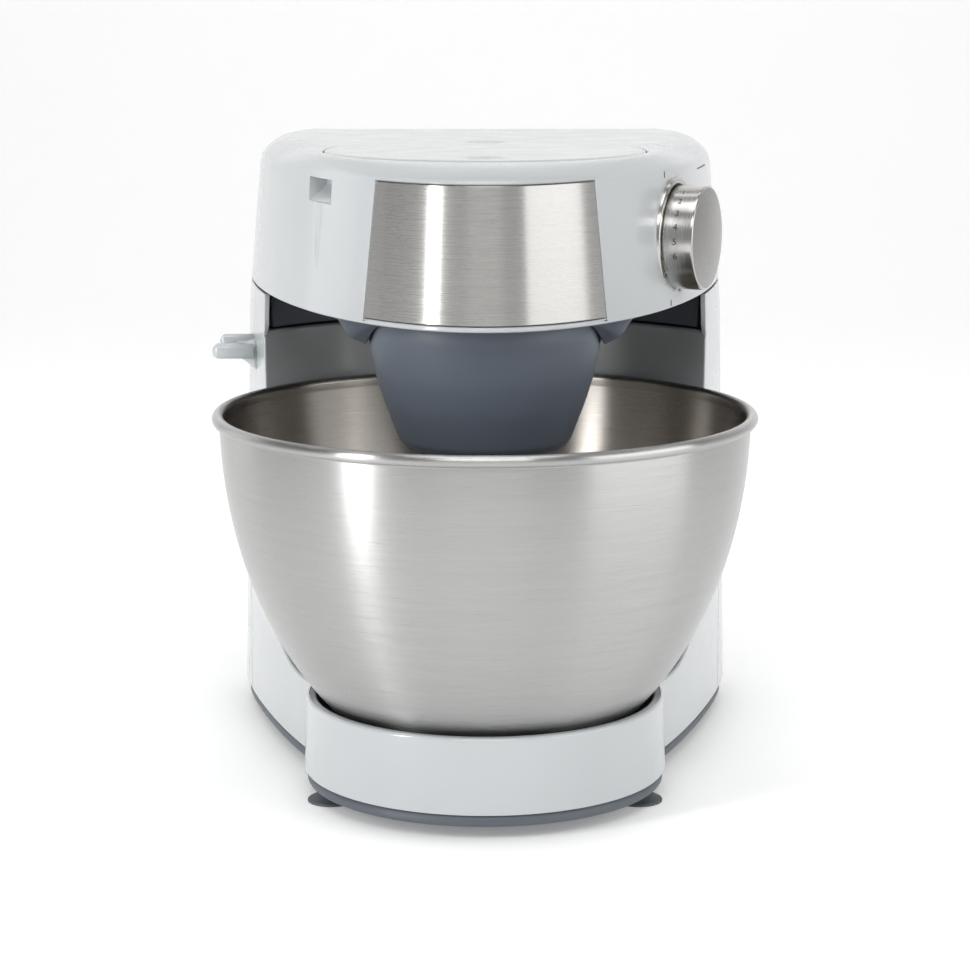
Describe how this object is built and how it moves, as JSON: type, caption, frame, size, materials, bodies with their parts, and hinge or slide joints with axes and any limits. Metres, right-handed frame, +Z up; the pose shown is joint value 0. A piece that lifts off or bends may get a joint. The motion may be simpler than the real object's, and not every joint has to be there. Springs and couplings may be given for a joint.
{
  "type": "stand mixer",
  "caption": "Tilt-head kitchen stand mixer with a stainless bowl on a round pedestal, a speed dial, a head release lever and a top drive outlet.",
  "frame": {"origin": "middle of the footprint at the level of the feet", "axes": "+Z up, front of the mixer towards -Y, speed dial towards +X"},
  "size_m": [0.2528, 0.3604, 0.2884],
  "materials": {
    "belt_rubber": "black belt rubber",
    "bowl_steel": "spun and brushed stainless steel",
    "cast_metal": "as cast",
    "circuit_board": "solder-masked board",
    "copper_winding": "enamelled copper wire",
    "dark_base": "satin dark grey moulding",
    "dial_steel": "turned steel",
    "nylon": "natural nylon",
    "panel_steel": "brushed stainless steel, vertical grain across the panel",
    "plain_steel": "ground steel",
    "slate_plastic": "fine satin moulding, dark slate grey",
    "soft_rubber": "dull soft rubber",
    "white_shell": "smooth gloss white moulding"
  },
  "bodies": {
    "base": {"base_housing": "white_shell", "rear_cover": "white_shell", "base_plate": "dark_base", "cord_gland": "soft_rubber", "foot_front_left": "soft_rubber", "foot_front_right": "soft_rubber", "foot_rear_left": "soft_rubber", "foot_rear_right": "soft_rubber", "bowl_seat_ring": "slate_plastic", "hinge_bracket_left": "cast_metal", "hinge_bracket_right": "cast_metal", "hinge_pin": "plain_steel", "control_board": "circuit_board", "latch_spring": "plain_steel"},
    "head": {"head_shell": "white_shell", "top_cover": "white_shell", "front_panel": "panel_steel", "lower_shell": "slate_plastic", "hub_skirt": "slate_plastic", "head_chassis": "cast_metal", "ring_gear": "nylon", "drive_belt": "belt_rubber", "outlet_belt": "belt_rubber", "motor_can": "plain_steel", "motor_stator": "copper_winding", "outlet_collar": "slate_plastic", "knob_bezel": "dial_steel", "speed_switch": "dark_base", "latch_strike": "plain_steel"},
    "motor_rotor": {"motor_rotor": "plain_steel", "motor_drive_pulley": "cast_metal", "motor_outlet_pulley": "cast_metal"},
    "planet_hub": {"planet_hub": "slate_plastic", "drive_pulley": "nylon"},
    "tool_spindle": {"tool_spindle": "plain_steel", "planet_gear": "nylon"},
    "outlet_drive": {"outlet_drive": "slate_plastic", "outlet_pulley": "nylon"},
    "outlet_lid": {"outlet_lid": "white_shell"},
    "speed_knob": {"speed_knob": "dial_steel", "knob_shaft": "plain_steel"},
    "release_lever": {"release_lever": "white_shell", "latch_arm": "slate_plastic"},
    "bowl": {"bowl": "bowl_steel", "bowl_foot": "bowl_steel"}
  },
  "joints": [
    {"name": "head_tilt", "type": "hinge", "parent": "base", "child": "head", "pos_m": [0.0046, 0.13934, 0.212], "axis": [-1, 0, 0], "range_deg": [0, 45]},
    {"name": "hub_spin", "type": "hinge", "parent": "head", "child": "planet_hub", "pos_m": [0.0046, -0.05865, 0.2], "axis": [0, 0, 1], "continuous": true},
    {"name": "tool_spin", "type": "hinge", "parent": "planet_hub", "child": "tool_spindle", "pos_m": [0.0046, -0.07866, 0.175], "axis": [0, 0, 1], "continuous": true},
    {"name": "rotor_spin", "type": "hinge", "parent": "head", "child": "motor_rotor", "pos_m": [0.0046, 0.05334, 0.25], "axis": [0, 0, 1], "continuous": true},
    {"name": "outlet_spin", "type": "hinge", "parent": "head", "child": "outlet_drive", "pos_m": [0.0046, -0.02365, 0.258], "axis": [0, 0, 1], "continuous": true},
    {"name": "knob_turn", "type": "hinge", "parent": "head", "child": "speed_knob", "pos_m": [0.0891, -0.03365, 0.25], "axis": [0.9304, -0.3665, 0], "range_deg": [-215, 35]},
    {"name": "lid_lift", "type": "slide", "parent": "head", "child": "outlet_lid", "axis": [0, 0, 1], "range_m": [0, 0.04]},
    {"name": "lever_press", "type": "hinge", "parent": "base", "child": "release_lever", "pos_m": [-0.1054, 0.06535, 0.19], "axis": [1, 0, 0], "range_deg": [0, 18], "stiffness_Nm_per_rad": 0.06, "springref_deg": -14.32},
    {"name": "bowl_twist", "type": "hinge", "parent": "base", "child": "bowl", "pos_m": [0.0046, -0.05865, 0.025], "axis": [0, 0, 1], "range_deg": [0, 30]}
  ],
  "couplings": [
    {"joint": "tool_spin", "follows": "hub_spin", "ratio": -2.6667},
    {"joint": "rotor_spin", "follows": "hub_spin", "ratio": 4},
    {"joint": "outlet_spin", "follows": "hub_spin", "ratio": 4}
  ]
}
